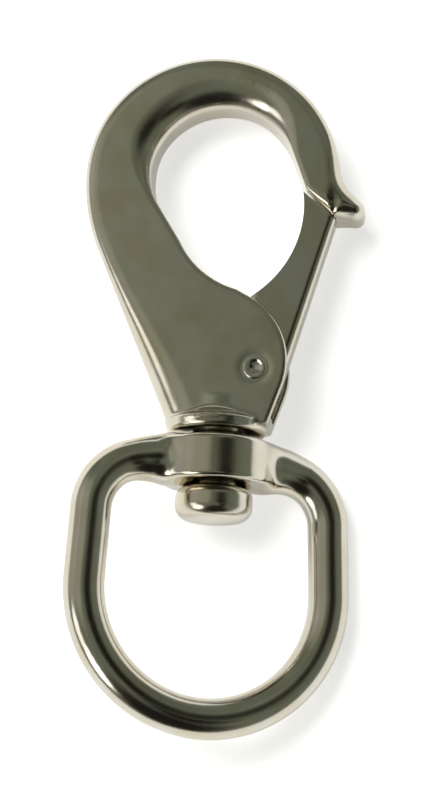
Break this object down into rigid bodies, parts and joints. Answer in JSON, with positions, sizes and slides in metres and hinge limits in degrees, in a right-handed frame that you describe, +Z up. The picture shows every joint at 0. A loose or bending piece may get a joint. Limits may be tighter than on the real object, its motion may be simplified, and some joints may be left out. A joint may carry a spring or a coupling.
{
  "type": "snap hook",
  "caption": "Swivel snap hook: a cast hook with a sprung folded sheet gate on a rivet and a round-bar swivel eye for a strap or line.",
  "frame": {"origin": "middle of the footprint, on the surface that the hook lies on", "axes": "+Y along the hook from the swivel eye towards the bow, +X towards the gate, +Z up from the surface; the hook lies on its back and its swivel axis dips 3.3 degrees towards the bow"},
  "size_m": [0.0348, 0.0846, 0.0161],
  "materials": {
    "nickel_casting": "gloss",
    "nickel_sheet": "gloss",
    "nickel_rivet": "gloss",
    "spring_wire": "satin",
    "nickel_bar": "gloss"
  },
  "bodies": {
    "hook": {"hook_body": "nickel_casting", "pivot_rivet": "nickel_rivet", "gate_spring": "spring_wire"},
    "gate": {"gate": "nickel_sheet"},
    "eye": {"swivel_eye": "nickel_bar"}
  },
  "joints": [
    {"name": "gate_hinge", "type": "hinge", "parent": "hook", "child": "gate", "pos_m": [0.00468, 0.00229, 0.00659], "axis": [0, 0.0572, 0.9984], "range_deg": [0, 35], "stiffness_Nm_per_rad": 0.08, "springref_deg": -22.92, "deforming": ["gate_spring"]},
    {"name": "eye_swivel", "type": "hinge", "parent": "hook", "child": "eye", "pos_m": [0.00007, -0.00914, 0.00725], "axis": [0, 0.9984, -0.0572], "continuous": true}
  ]
}
